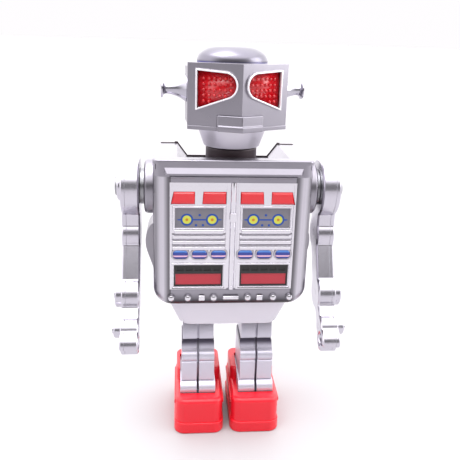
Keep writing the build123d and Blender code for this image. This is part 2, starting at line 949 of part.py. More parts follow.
def shoulder_boss():
    boss = rod_x(body_half_width, boss_outer, boss_radius, 0, shoulder_height)
    boss = fillet(boss.faces().sort_by(Axis.X)[-1].edges(), boss_round)
    return boss - rod_x(0, far, pin_radius, 0, shoulder_height)


def shoulder_washer():
    washer = rod_x(boss_outer, arm_inner_face - washer_play, washer_radius, 0, shoulder_height)
    return washer - rod_x(0, far, pin_radius, 0, shoulder_height)


def shoulder_pin():
    seat = arm_boss_face - pin_head_height + fit
    pin = rod_x(body_half_width - pin_reach, seat, pin_radius, 0, shoulder_height)
    head = rod_x(seat, seat + pin_head_height, pin_head_radius, 0, shoulder_height)
    head = fillet(head.faces().sort_by(Axis.X)[-1].edges(), arm_boss_edge)
    collar = rod_x(body_half_width - collar_reach, body_half_width - tin, collar_radius, 0, shoulder_height)
    return pin + head + collar


# ---------------------------------------------------------------- head

def visor_plan(grow):
    """Plan of the visor's V, moved outwards by grow."""
    ridge = visor_ridge - grow / cos(visor_slope)
    half = visor_half_width + grow
    corner = ridge + half * (visor_corner - visor_ridge) / visor_half_width
    return outline((-half, visor_back), (-half, corner), (0, ridge), (half, corner), (half, visor_back))


def chevron(outer, inner, half):
    """A strip along the V between two distances from its face, cut at +/- half."""
    strip = visor_plan(outer) - visor_plan(inner)
    return strip & window(-half, half, -far, visor_back)


def eye_plane():
    """The visor's right face: x runs outwards from the ridge, y is the height."""
    along = (cos(visor_slope), sin(visor_slope), 0)
    outwards = (sin(visor_slope), -cos(visor_slope), 0)
    return Plane((0, visor_ridge, 0), x_dir=along, z_dir=outwards)


def eye_outline(grow):
    circle = disc(eye_round_u, eye_round_z, eye_round + grow)
    edge_u = eye_outer + grow
    side = Line((edge_u, eye_low - grow), (edge_u, eye_high + grow))
    return make_hull(circle.edges() + [side.edge()])


def eye_prism(grow, low, high):
    return extrude(eye_plane().offset(low) * eye_outline(grow), high - low)


def mouth_block():
    """Mouth grille: a block on the V with a thicker lip below it."""
    upper = prism_z(chevron(mouth_stand, -mouth_root, mouth_half), mouth_step, mouth_top)
    lip = prism_z(chevron(lip_stand, -mouth_root, mouth_half), mouth_bottom, mouth_step)
    return upper + lip


def head_visor():
    """Folded face plate with raised eye rims and a band along the chin, open at the back."""
    visor = prism_z(visor_plan(0), visor_bottom, visor_top)
    chin = chevron(chin_stand, -visor_wall / 2, visor_half_width)
    visor += prism_z(chin, visor_bottom - chin_stand, visor_bottom + chin_height)
    half = visor_half_width - visor_wall
    inside = visor_plan(-visor_wall) + window(-half, half, visor_back - fit, visor_back + 1)
    visor -= prism_z(inside, visor_bottom + visor_wall, visor_top - visor_wall)
    for rim in both_sides(eye_prism(eye_rim, -eye_rim_height, eye_rim_height)):
        visor += rim
    for hole in both_sides(eye_prism(0, -3 * visor_wall, visor_wall)):
        visor -= hole
    return visor - mouth_block()


def eye_lens():
    flange_back = -visor_wall - eye_flange_thickness
    lens = eye_prism(-fit, -visor_wall, -eye_rim_height)
    lens += eye_prism(eye_flange, flange_back, -visor_wall)
    return lens - block(0, far, visor_back - spigot_depth - fit, 0, visor_bottom, visor_top)


def head_back_shell():
    half = head_half_width
    shell = block(-half, half, visor_back, head_back, head_bottom, head_top)
    corners = shell.edges().filter_by(Axis.Z).group_by(Axis.Y)[-1]
    shell = fillet(corners, head_back_round)
    back_edges = shell.faces().sort_by(Axis.Z)[-1].edges().group_by(Axis.Y)[-1]
    shell = fillet(back_edges, head_top_round)
    inner_half = visor_half_width - visor_wall - fit
    spigot_low = visor_bottom + visor_wall + fit
    spigot_high = visor_top - visor_wall - fit
    spigot_front = visor_back - spigot_depth
    spigot = visor_plan(-visor_wall - fit) & window(-inner_half, inner_half, spigot_front, visor_back)
    spigot += window(-inner_half, inner_half, visor_back - fit, visor_back + 1)
    shell += prism_z(spigot, spigot_low, spigot_high)
    room_half = inner_half - tin
    cavity = block(-room_half, room_half, -far, head_back - tin, spigot_low + tin, spigot_high - tin)
    cavity = fillet(cavity.edges().filter_by(Axis.Z).group_by(Axis.Y)[-1], head_back_round - tin)
    shell -= cavity
    shell -= rod_x(-far, far, ear_rod_radius, 0, ear_height)
    return shell - rod_z(head_bottom - 1, head_bottom + 3, neck_pin_radius, 0, 0)


def head_dome():
    """Shallow cap on a short straight rim."""
    rim_top = head_top + dome_rim
    top = head_top + dome_height
    with BuildSketch(Plane.XZ) as drawing:
        with BuildLine():
            Line((0, head_top), (dome_radius, head_top))
            Line((dome_radius, head_top), (dome_radius, rim_top))
            shoulder = (dome_radius * 0.82, top - 1.3)
            Spline((dome_radius, rim_top), shoulder, (0, top), tangents=[(-0.1, 1), (-1, 0)])
            Line((0, top), (0, head_top))
        make_face()
    dome = scale(revolve(drawing.sketch, Axis.Z), by=(dome_stretch, 1, 1))
    return Pos(0, dome_centre, 0) * dome


def ear():
    """Trumpet-shaped ear turned about X."""
    start = head_half_width
    flange_end = start + 0.5
    disc_start = ear_end - 0.4
    with BuildSketch() as drawing:
        with BuildLine():
            Line((start, 0), (start, ear_flare))
            Line((start, ear_flare), (flange_end, ear_flare))
            Spline(
                (flange_end, ear_flare),
                (flange_end + 1.8, ear_waist + 1.0),
                (flange_end + 4.0, ear_waist + 0.2),
                (disc_start - 0.6, ear_waist + 0.2),
                (disc_start, ear_disc),
            )
            Line((disc_start, ear_disc), (ear_end, ear_disc))
            Line((ear_end, ear_disc), (ear_end, 0))
            Line((ear_end, 0), (start, 0))
        make_face()
    turned = revolve(drawing.sketch, Axis.X)
    stub = rod_x(start - ear_rod_length, start, ear_rod_radius, 0, 0)
    return Pos(0, 0, ear_height) * (turned + stub)


def neck_bowl():
    high = head_bottom
    bowl = Pos(0, 0, (bowl_bottom + high) / 2) * Cone(bowl_bottom_radius, bowl_top_radius, high - bowl_bottom)
    inner_low = bowl_bottom + 2 * tin
    inner_high = high + 2 * fit
    inner = Cone(bowl_bottom_radius - tin, bowl_top_radius - tin, inner_high - inner_low)
    bowl -= Pos(0, 0, (inner_low + inner_high) / 2) * inner
    bowl -= block(-far, far, -far, visor_back + fit, visor_bottom, high + 1)
    return bowl - rod_z(bowl_bottom - 1, bowl_bottom + 3, neck_pin_radius, 0, 0)


def neck_pin():
    """Pin that holds the head, with a foot under the deck."""
    foot_top = valley_floor - tin - part_gap
    foot_bottom = foot_top - neck_foot_height
    pin = rod_z(foot_bottom, head_bottom + neck_pin_reach, neck_pin_radius, 0, 0)
    return pin + rod_z(foot_bottom, foot_top, neck_foot_radius, 0, 0)


def neck_bush():
    bush = rod_z(valley_floor, bowl_bottom - neck_play, neck_radius, 0, 0)
    bush = fillet(bush.faces().sort_by(Axis.Z)[-1].edges(), neck_round)
    return bush - rod_z(0, 2 * far, neck_pin_radius + fit, 0, 0)


def turned_head(shape):
    return Rot(0, 0, head_turn) * shape


# ---------------------------------------------------------------- clockwork

def gear_face(teeth, phase):
    """Outline of a gear with slim teeth; one tooth points at the angle phase, in degrees."""
    pitch = 2 * pi / teeth
    pitch_radius = gear_module * teeth / 2
    root = pitch_radius - 1.15 * gear_module
    tip = pitch_radius + 0.75 * gear_module
    points = []
    for index in range(teeth):
        middle = radians(phase) + index * pitch
        for share, radius in ((-0.21, root), (-0.1, tip), (0.1, tip), (0.21, root)):
            angle = middle + share * pitch
            points.append((radius * cos(angle), radius * sin(angle)))
    return outline(*points)


def gear_y(teeth, phase, low, high, x, z):
    return prism_y(Pos(x, z) * gear_face(teeth, phase), low, high)


def pillar_places():
    side = plate_half_width - pillar_inset
    top = plate_top - 2.5
    beside_wheel = arbor_height - 5.5
    return [(-side, top), (side, top), (side + small_step, beside_wheel), (-side, plate_bottom + 1.8)]


def plate_bores(plate, low, high):
    plate -= rod_y(low - 1, high + 1, winding_radius + fit, 0, arbor_height)
    for x, z in ((0, second_height), (governor_x, governor_z)):
        plate -= rod_y(low - 1, high + 1, arbor_radius + fit, x, z)
    return plate


def motor_plate_back():
    face = window(-plate_back_half, plate_back_half, plate_bottom, plate_top, plate_corner)
    return plate_bores(prism_y(face, plate_back, plate_rear), plate_back, plate_rear)


def motor_plate_front():
    """Front plate with two bent brackets that carry the crankshaft."""
    face = window(-plate_half_width, plate_half_width, plate_bottom, plate_top, plate_corner)
    plate = prism_y(face, plate_front, plate_front_rear)
    front = crank_y - bracket_reach
    low = second_height - bracket_half
    high = second_height + bracket_half
    bracket = block(bracket_place, bracket_place + tin, front, plate_front + fit, low, high)
    for ear_piece in both_sides(bracket):
        plate += ear_piece
    plate = plate_bores(plate, plate_front, plate_front_rear)
    return plate - rod_x(-far, far, arbor_radius + fit, crank_y, second_height)


def motor_pillars():
    return [rod_y(plate_front_rear, plate_back, pillar_radius, x, z) for x, z in pillar_places()]


def motor_posts():
    """Spacers that carry the motor on the back of the casing."""
    side = plate_half_width
    levels = (plate_bottom + 3, plate_top - 4)
    return [rod_y(plate_rear, body_back - tin, pillar_radius, x, z) for x in (-side, side) for z in levels]


def winding_arbor():
    return rod_y(plate_front - arbor_end, key_arbor_end, winding_radius, 0, arbor_height)


def great_wheel():
    wheel = gear_y(great_teeth, -90, great_low, great_high, 0, arbor_height)
    return wheel - rod_y(0, far, winding_radius, 0, arbor_height)


def mainspring():
    """Flat spring coiled round the winding arbor."""
    growth = (spring_outer - spring_start - spring_strip) / (2 * pi * spring_turns)
    steps = spring_steps * spring_turns
    angles = [2 * pi * spring_turns * index / steps for index in range(steps + 1)]
    inner = [(spring_start + growth * angle, angle) for angle in angles]
    outer = [(radius + spring_strip, angle) for radius, angle in reversed(inner)]
    points = [(radius * cos(angle), radius * sin(angle)) for radius, angle in inner + outer]
    face = Pos(0, arbor_height) * outline(*points)
    return prism_y(face, plate_front_rear + tin, second_low - 0.5)


def winding_key():
    """Butterfly key with a round loop for each finger."""
    middle_y = key_end - key_loop
    plate = window(-key_loop, key_loop, middle_y - key_bridge_half, middle_y + key_bridge_half)
    for side in (-1, 1):
        plate += disc(side * key_loop_place, middle_y, key_loop)
    for side in (-1, 1):
        plate -= disc(side * key_loop_place, middle_y, key_loop_hole)
    key = prism_z(plate, arbor_height - key_thickness / 2, arbor_height + key_thickness / 2)
    key += rod_y(body_back + part_gap, middle_y + 1, key_hub_radius, 0, arbor_height)
    return key - rod_y(0, key_arbor_end, winding_radius, 0, arbor_height)


def second_arbor():
    return rod_y(crown_back + small_step, plate_rear + arbor_end, arbor_radius, 0, second_height)


def second_pinion():
    phase = 90 + 180 / pinion_teeth
    pinion = gear_y(pinion_teeth, phase, great_low - pinion_side, great_high + pinion_side, 0, second_height)
    return pinion - rod_y(-far, far, arbor_radius, 0, second_height)


def second_wheel():
    wheel = gear_y(second_teeth, governor_angle, second_low, second_high, 0, second_height)
    return wheel - rod_y(-far, far, arbor_radius, 0, second_height)


def crown_wheel():
    """Crown wheel whose teeth stand towards the front and drive the crankshaft."""
    rim = crown_radius + crown_tooth_length / 2
    wheel = rod_y(crown_back, crown_back + crown_thickness, rim, 0, second_height)
    low = crown_radius - crown_tooth_length / 2
    front = crown_back - crown_tooth_height
    tooth = block(low, rim, front, crown_back + pinion_side, -crown_tooth_half, crown_tooth_half)
    for index in range(crown_teeth):
        angle = 360 * (index + 0.5) / crown_teeth
        wheel += Pos(0, 0, second_height) * (Rot(0, angle, 0) * tooth)
    return wheel - rod_y(-far, far, arbor_radius, 0, second_height)


def crankshaft():
    """Cross shaft with a crank disc at each end; the two pins stand opposite each other."""
    pin_end = lever_inner - crank_gap
    web_end = crank_web + web_thickness
    shaft = rod_x(-crank_web, crank_web, arbor_radius, crank_y, second_height)
    web = rod_x(crank_web, web_end, crank_radius + web_rim, crank_y, second_height)
    for disc_piece in both_sides(web):
        shaft += disc_piece
    shaft += rod_x(web_end, pin_end, crank_pin, crank_y, second_height + crank_radius)
    return shaft + rod_x(-pin_end, -web_end, crank_pin, crank_y, second_height - crank_radius)


def crank_pinion():
    low = crown_radius - crank_pinion_width / 2
    face = Pos(crank_y, second_height) * gear_face(small_pinion_teeth, 0)
    pinion = prism_x(face, low, low + crank_pinion_width)
    return pinion - rod_x(0, far, arbor_radius, crank_y, second_height)


def governor():
    arbor = rod_y(plate_front - arbor_end, plate_rear + arbor_end, arbor_radius, governor_x, governor_z)
    back = governor_front + governor_thickness
    flywheel = rod_y(governor_front, back, governor_radius, governor_x, governor_z)
    phase = governor_angle + 180 + 180 / small_pinion_teeth
    low = second_low - pinion_side
    high = second_high + pinion_side
    pinion = gear_y(small_pinion_teeth, phase, low, high, governor_x, governor_z)
    return arbor + flywheel + pinion


# ---------------------------------------------------------------- write the nodes

save("torso_front_shell", torso_front_shell())
save("torso_back_shell", torso_back_shell())
save("torso_deck", torso_deck())
save("casing_screws", *casing_screws())
save("chest_panel", chest_panel())
save("chest_lights", *chest_lights())
save("dial_plates", *dial_plates())
save("oval_buttons", *oval_buttons())
save("button_bezels", *button_bezels())
save("window_grilles", *window_grilles())
save("red_windows", *red_windows())
save("door_latch", door_latch())
save("pelvis_shell", pelvis_shell())
save("hip_axle", hip_axle())
save("neck_bush", neck_bush())
save("shoulder_bosses", *both_sides(shoulder_boss()))
save("shoulder_washers", *both_sides(shoulder_washer()))
save("shoulder_pins", *both_sides(shoulder_pin()))

for side, place in (("left", lambda shape: shape), ("right", mirrored)):
    save(f"arm_{side}_inner", place(arm_inner()))
    save(f"arm_{side}_outer", place(arm_outer()))
    save(f"arm_{side}_rivets", *[place(rivet) for rivet in arm_rivets()])
    save(f"leg_{side}", place(leg_body()))
    save(f"leg_lever_{side}", place(leg_lever()))
    save(f"boot_{side}", place(boot()))
    save(f"boot_sole_{side}", place(boot_sole()))
    save(f"boot_screw_{side}", place(boot_screw()))
    save(f"eye_lens_{side}", turned_head(place(eye_lens())))
    save(f"ear_{side}", turned_head(place(ear())))

save("head_visor", turned_head(head_visor()))
save("mouth_grille", turned_head(mouth_block()))
save("head_back_shell", turned_head(head_back_shell()))
save("head_dome", turned_head(head_dome()))
save("neck_bowl", turned_head(neck_bowl()))
save("neck_pin", turned_head(neck_pin()))

save("motor_plate_front", motor_plate_front())
save("motor_plate_back", motor_plate_back())
save("motor_pillars", *motor_pillars())
save("motor_posts", *motor_posts())
save("winding_arbor", winding_arbor())
save("great_wheel", great_wheel())
save("mainspring", mainspring())
save("winding_key", winding_key())
save("second_arbor", second_arbor())
save("second_pinion", second_pinion())
save("second_wheel", second_wheel())
save("crown_wheel", crown_wheel())
save("crankshaft", crankshaft())
save("crank_pinion", crank_pinion())
save("governor", governor())
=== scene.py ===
import bpy
import bmesh
import json
from math import cos, radians, sin
from mathutils import Matrix, Vector
from mathutils.bvhtree import BVHTree


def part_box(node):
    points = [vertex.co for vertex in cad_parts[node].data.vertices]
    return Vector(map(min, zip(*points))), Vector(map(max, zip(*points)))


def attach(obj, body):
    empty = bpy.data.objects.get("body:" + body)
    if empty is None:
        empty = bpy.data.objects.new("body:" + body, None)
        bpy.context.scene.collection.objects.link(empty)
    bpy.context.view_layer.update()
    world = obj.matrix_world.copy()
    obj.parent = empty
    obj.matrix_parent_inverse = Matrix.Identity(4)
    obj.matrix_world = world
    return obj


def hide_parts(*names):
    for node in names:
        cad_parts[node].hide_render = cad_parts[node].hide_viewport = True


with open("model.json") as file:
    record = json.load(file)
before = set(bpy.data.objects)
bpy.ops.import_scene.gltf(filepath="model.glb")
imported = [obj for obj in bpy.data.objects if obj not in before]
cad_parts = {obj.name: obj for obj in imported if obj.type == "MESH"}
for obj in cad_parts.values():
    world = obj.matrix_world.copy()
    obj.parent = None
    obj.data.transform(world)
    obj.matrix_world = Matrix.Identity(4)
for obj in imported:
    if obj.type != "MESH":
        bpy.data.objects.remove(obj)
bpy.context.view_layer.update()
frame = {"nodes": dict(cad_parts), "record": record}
nodes = frame["nodes"]
mm = 0.001
print("frame loaded:", len(nodes), "nodes")

# camera
cameraValues = {
    "place": (-15.1, -164.2, 117.6),  # mm
    "azimuth": -5.33,
    "elevation": 16.42,
    "roll": 1.77,
    "lens": 44.78,
    "shiftY": -0.0537,
}


def makeCamera():
    values = cameraValues
    azimuth = radians(values["azimuth"])
    elevation = radians(values["elevation"])
    roll = radians(values["roll"])
    back = Vector((sin(azimuth) * cos(elevation), -cos(azimuth) * cos(elevation), sin(elevation)))
    right = Vector((cos(azimuth), sin(azimuth), 0))
    up = back.cross(right)
    axisX = right * cos(roll) + up * sin(roll)
    axisY = -right * sin(roll) + up * cos(roll)
    turned = Matrix((axisX, axisY, back)).transposed().to_4x4()
    data = bpy.data.cameras.new("camera")
    data.lens = values["lens"]
    data.sensor_width = 36
    data.shift_y = values["shiftY"]
    data.clip_start = 0.005
    camera = bpy.data.objects.new("camera", data)
    bpy.context.scene.collection.objects.link(camera)
    camera.matrix_world = Matrix.Translation(Vector(values["place"]) * mm) @ turned
    bpy.context.scene.camera = camera


lightValues = {
    "key": {"place": (-90, -30, 420), "size": 260, "power": 0.9},
    "side": {"place": (340, -60, 200), "size": 240, "power": 0.5},
    "ceiling": 2.9,
    "ceilingFade": (0.35, 0.75),  # of a direction's upward part
    "sweep": 2.2,  # the white behind and beside the toy
    "sweepFade": (-0.85, -0.2),  # of a direction's backward part
    "backdrop": 1.0,
    "room": 0.22,  # the darker room behind the camera
    "tint": (1.0, 0.985, 1.0),
}


def makeLight(name, values):
    data = bpy.data.lights.new(name, "AREA")
    data.energy = values["power"]
    data.size = values["size"] * mm
    light = bpy.data.objects.new(name, data)
    bpy.context.scene.collection.objects.link(light)
    place = Vector(values["place"]) * mm
    aim = Vector((0, 0, 60)) * mm - place
    light.matrix_world = Matrix.Translation(place) @ aim.to_track_quat("-Z", "Y").to_matrix().to_4x4()


def makeWorld():
    world = bpy.data.worlds.new("studio")
    world.use_nodes = True
    bpy.context.scene.world = world
    tree = world.node_tree
    tree.nodes.clear()
    place = tree.nodes.new("ShaderNodeTexCoord")
    split = tree.nodes.new("ShaderNodeSeparateXYZ")
    tree.links.new(place.outputs["Generated"], split.inputs[0])
    front = tree.nodes.new("ShaderNodeMapRange")
    front.interpolation_type = "SMOOTHSTEP"
    front.inputs["From Min"].default_value = lightValues["sweepFade"][0]
    front.inputs["From Max"].default_value = lightValues["sweepFade"][1]
    front.inputs["To Min"].default_value = lightValues["room"]
    front.inputs["To Max"].default_value = lightValues["sweep"]
    tree.links.new(split.outputs["Y"], front.inputs["Value"])
    ceiling = tree.nodes.new("ShaderNodeMapRange")
    ceiling.interpolation_type = "SMOOTHSTEP"
    ceiling.inputs["From Min"].default_value = lightValues["ceilingFade"][0]
    ceiling.inputs["From Max"].default_value = lightValues["ceilingFade"][1]
    ceiling.inputs["To Max"].default_value = lightValues["ceiling"]
    tree.links.new(split.outputs["Z"], ceiling.inputs["Value"])
    brighter = tree.nodes.new("ShaderNodeMath")
    brighter.operation = "MAXIMUM"
    tree.links.new(front.outputs[0], brighter.inputs[0])
    tree.links.new(ceiling.outputs[0], brighter.inputs[1])
    background = tree.nodes.new("ShaderNodeBackground")
    background.inputs["Color"].default_value = (*lightValues["tint"], 1)
    # seen straight on, the room is as pale as the floor
    ray = tree.nodes.new("ShaderNodeLightPath")
    seen = tree.nodes.new("ShaderNodeMix")
    seen.inputs[3].default_value = lightValues["backdrop"]
    tree.links.new(ray.outputs["Is Camera Ray"], seen.inputs[0])
    tree.links.new(brighter.outputs[0], seen.inputs[2])
    tree.links.new(seen.outputs[0], background.inputs["Strength"])
    output = tree.nodes.new("ShaderNodeOutputWorld")
    tree.links.new(background.outputs[0], output.inputs[0])


# materials
def newMaterial(name):
    material = bpy.data.materials.new(name)
    material.use_nodes = True
    tree = material.node_tree
    tree.nodes.clear()
    shader = tree.nodes.new("ShaderNodeBsdfPrincipled")
    output = tree.nodes.new("ShaderNodeOutputMaterial")
    tree.links.new(shader.outputs[0], output.inputs[0])
    return material, tree, shader


finishValues = {
    "silver": {
        "color": (0.33, 0.315, 0.355),
        "dark": (0.27, 0.255, 0.295),
        "metallic": 1.0,
        "rough": 0.3,
        "coat": 0.15,
    },
    "domeSilver": {
        "color": (0.23, 0.22, 0.26),
        "dark": (0.19, 0.18, 0.22),
        "metallic": 1.0,
        "rough": 0.3,
        "coat": 0.1,
    },
    "rimSilver": {
        "color": (0.86, 0.84, 0.88),
        "dark": (0.78, 0.76, 0.80),
        "metallic": 0.35,
        "rough": 0.18,
        "coat": 0.3,
    },
    "panelSilver": {
        "color": (0.74, 0.72, 0.77),
        "dark": (0.66, 0.64, 0.69),
        "metallic": 1.0,
        "rough": 0.2,
        "coat": 0.2,
    },
    "legSilver": {
        "color": (0.70, 0.675, 0.74),
        "dark": (0.64, 0.61, 0.68),
        "metallic": 0.45,
        "rough": 0.34,
        "coat": 0.1,
    },
    "shinSilver": {
        "color": (0.60, 0.575, 0.66),
        "dark": (0.52, 0.50, 0.58),
        "metallic": 0.5,
        "rough": 0.34,
        "coat": 0.1,
    },
    "armSilver": {
        "color": (0.61, 0.59, 0.65),
        "dark": (0.52, 0.50, 0.56),
        "metallic": 1.0,
        "rough": 0.24,
        "coat": 0.2,
    },
    "red": {
        "color": (0.76, 0.008, 0.022),
        "dark": (0.66, 0.006, 0.018),
        "metallic": 0.0,
        "rough": 0.34,
        "coat": 0.1,
    },
    "lightRed": {
        "color": (0.66, 0.02, 0.03),
        "dark": (0.56, 0.014, 0.02),
        "metallic": 0.0,
        "rough": 0.2,
        "coat": 0.3,
    },
    "paneRed": {
        "color": (0.42, 0.02, 0.035),
        "dark": (0.36, 0.015, 0.03),
        "metallic": 0.0,
        "rough": 0.3,
        "coat": 0.2,
    },
    "eyeRed": {
        "color": (0.56, 0.006, 0.012),
        "dark": (0.42, 0.004, 0.008),
        "metallic": 0.0,
        "rough": 0.16,
        "coat": 0.3,
    },
    "black": {
        "color": (0.010, 0.009, 0.010),
        "dark": (0.018, 0.016, 0.018),
        "metallic": 0.0,
        "rough": 0.35,
        "coat": 0.0,
    },
    "dark": {
        "color": (0.055, 0.035, 0.042),
        "dark": (0.03, 0.02, 0.025),
        "metallic": 0.3,
        "rough": 0.4,
        "coat": 0.0,
    },
    "chrome": {
        "color": (0.48, 0.465, 0.52),
        "dark": (0.42, 0.405, 0.46),
        "metallic": 1.0,
        "rough": 0.18,
        "coat": 0.0,
    },
    "steel": {
        "color": (0.36, 0.36, 0.38),
        "dark": (0.28, 0.28, 0.30),
        "metallic": 1.0,
        "rough": 0.32,
        "coat": 0.0,
    },
    "brass": {
        "color": (0.55, 0.38, 0.15),
        "dark": (0.42, 0.28, 0.10),
        "metallic": 1.0,
        "rough": 0.3,
        "coat": 0.0,
    },
}


# every finish is a little uneven: two colours mixed in clouds, and a fine grain in roughness and height
unevenValues = {
    "clouds": 90,
    "cloudDetail": 4,
    "grain": 1100,
    "grainDetail": 3,
    "roughSpread": (0.8, 1.25),
    "height": 0.02,  # mm
    "peel": 0.025,  # how strongly the grain's height shows
    "coatRough": 0.08,
}


def buildUnevenGroup():
    values = unevenValues
    group = bpy.data.node_groups.new("unevenFinish", "ShaderNodeTree")
    for name in ("Color", "Dark"):
        group.interface.new_socket(name, in_out="INPUT", socket_type="NodeSocketColor")
    for name in ("Roughness", "Scale", "Peel"):
        group.interface.new_socket(name, in_out="INPUT", socket_type="NodeSocketFloat")
    for name, kind in (("Color", "Color"), ("Roughness", "Float"), ("Normal", "Vector")):
        group.interface.new_socket(name, in_out="OUTPUT", socket_type="NodeSocket" + kind)
    start = group.nodes.new("NodeGroupInput")
    end = group.nodes.new("NodeGroupOutput")
    place = group.nodes.new("ShaderNodeTexCoord")
    cloud = group.nodes.new("ShaderNodeTexNoise")
    cloud.inputs["Scale"].default_value = values["clouds"]
    cloud.inputs["Detail"].default_value = values["cloudDetail"]
    group.links.new(place.outputs["Object"], cloud.inputs["Vector"])
    grain = group.nodes.new("ShaderNodeTexNoise")
    grain.inputs["Detail"].default_value = values["grainDetail"]
    group.links.new(place.outputs["Object"], grain.inputs["Vector"])
    group.links.new(start.outputs["Scale"], grain.inputs["Scale"])
    mix = group.nodes.new("ShaderNodeMix")
    mix.data_type = "RGBA"
    group.links.new(cloud.outputs["Fac"], mix.inputs["Factor"])
    group.links.new(start.outputs["Color"], mix.inputs[6])
    group.links.new(start.outputs["Dark"], mix.inputs[7])
    group.links.new(mix.outputs[2], end.inputs["Color"])
    spread = group.nodes.new("ShaderNodeMapRange")
    spread.inputs["To Min"].default_value = values["roughSpread"][0]
    spread.inputs["To Max"].default_value = values["roughSpread"][1]
    group.links.new(grain.outputs["Fac"], spread.inputs["Value"])
    rough = group.nodes.new("ShaderNodeMath")
    rough.operation = "MULTIPLY"
    group.links.new(start.outputs["Roughness"], rough.inputs[0])
    group.links.new(spread.outputs[0], rough.inputs[1])
    group.links.new(rough.outputs[0], end.inputs["Roughness"])
    bump = group.nodes.new("ShaderNodeBump")
    bump.inputs["Distance"].default_value = values["height"] * mm
    group.links.new(start.outputs["Peel"], bump.inputs["Strength"])
    group.links.new(grain.outputs["Fac"], bump.inputs["Height"])
    group.links.new(bump.outputs[0], end.inputs["Normal"])
    return group


unevenGroup = buildUnevenGroup()


def finish(name, values):
    material, tree, shader = newMaterial(name)
    group = tree.nodes.new("ShaderNodeGroup")
    group.node_tree = unevenGroup
    group.inputs["Color"].default_value = (*values["color"], 1)
    group.inputs["Dark"].default_value = (*values["dark"], 1)
    group.inputs["Roughness"].default_value = values["rough"]
    group.inputs["Scale"].default_value = unevenValues["grain"]
    group.inputs["Peel"].default_value = unevenValues["peel"]
    tree.links.new(group.outputs["Color"], shader.inputs["Base Color"])
    tree.links.new(group.outputs["Roughness"], shader.inputs["Roughness"])
    tree.links.new(group.outputs["Normal"], shader.inputs["Normal"])
    shader.inputs["Metallic"].default_value = values["metallic"]
    shader.inputs["Coat Weight"].default_value = values["coat"]
    shader.inputs["Coat Roughness"].default_value = unevenValues["coatRough"]
    return material


materials = {name: finish(name, values) for name, values in finishValues.items()}


def mathNode(tree, operation, first, second=None, clamp=False):
    node = tree.nodes.new("ShaderNodeMath")
    node.operation = operation
    node.use_clamp = clamp
    for socket, value in zip(node.inputs, (first, second)):
        if value is None:
            continue
        if isinstance(value, (int, float)):
            socket.default_value = value
        else:
            tree.links.new(value, socket)
    return node.outputs[0]


def objectPlace(tree):
    place = tree.nodes.new("ShaderNodeTexCoord")
    split = tree.nodes.new("ShaderNodeSeparateXYZ")
    tree.links.new(place.outputs["Object"], split.inputs[0])
    return split.outputs


def paintOver(tree, below, mask, color):
    mix = tree.nodes.new("ShaderNodeMix")
    mix.data_type = "RGBA"
    tree.links.new(mask, mix.inputs["Factor"])
    tree.links.new(below, mix.inputs[6])
    mix.inputs[7].default_value = (*color, 1)
    return mix.outputs[2]


def fillRamp(ramp, stops):
    elements = ramp.color_ramp.elements
    elements.remove(elements[1])
    for index, (position, color) in enumerate(stops):
        element = elements[0] if index == 0 else elements.new(position)
        element.position = position
        element.color = (*color, 1)


def smoothShare(tree, value, start, end):
    share = tree.nodes.new("ShaderNodeMapRange")
    share.interpolation_type = "SMOOTHSTEP"
    share.inputs["From Min"].default_value = start
    share.inputs["From Max"].default_value = end
    tree.links.new(value, share.inputs["Value"])
    return share.outputs[0]


def openFinish(material):
    tree = material.node_tree
    shader = next(node for node in tree.nodes if node.type == "BSDF_PRINCIPLED")
    return tree, shader, shader.inputs["Base Color"].links[0].from_socket


# a grey printed plate: two ringed dials joined by a pointed line, with three small dots between them
dialPrint = {
    "dials": (5.8, 12.85),  # mm from the middle of the toy
    "level": -0.6,  # mm above the middle of the plate
    "ringOuter": 1.78,
    "ringInner": 1.22,
    "dot": 0.42,
    "lineHalf": 0.22,
    "lineEnds": (3.0, 15.7),
    "smallDots": ((9.3, 1.35), (8.35, -1.6), (10.3, -1.6)),
    "smallDot": 0.36,
    "fade": 0.04,  # mm over which a printed edge fades
    "taper": 0.35,
    "clouds": 260,
    "rough": (0.32, 0.46),
    "metallic": 0.25,
    "coat": 0.3,
    "grey": (0.20, 0.19, 0.22),
    "greyDark": (0.14, 0.135, 0.165),
    "blue": (0.006, 0.055, 0.30),
    "yellow": (0.55, 0.56, 0.06),
    "orange": (0.50, 0.20, 0.01),
}


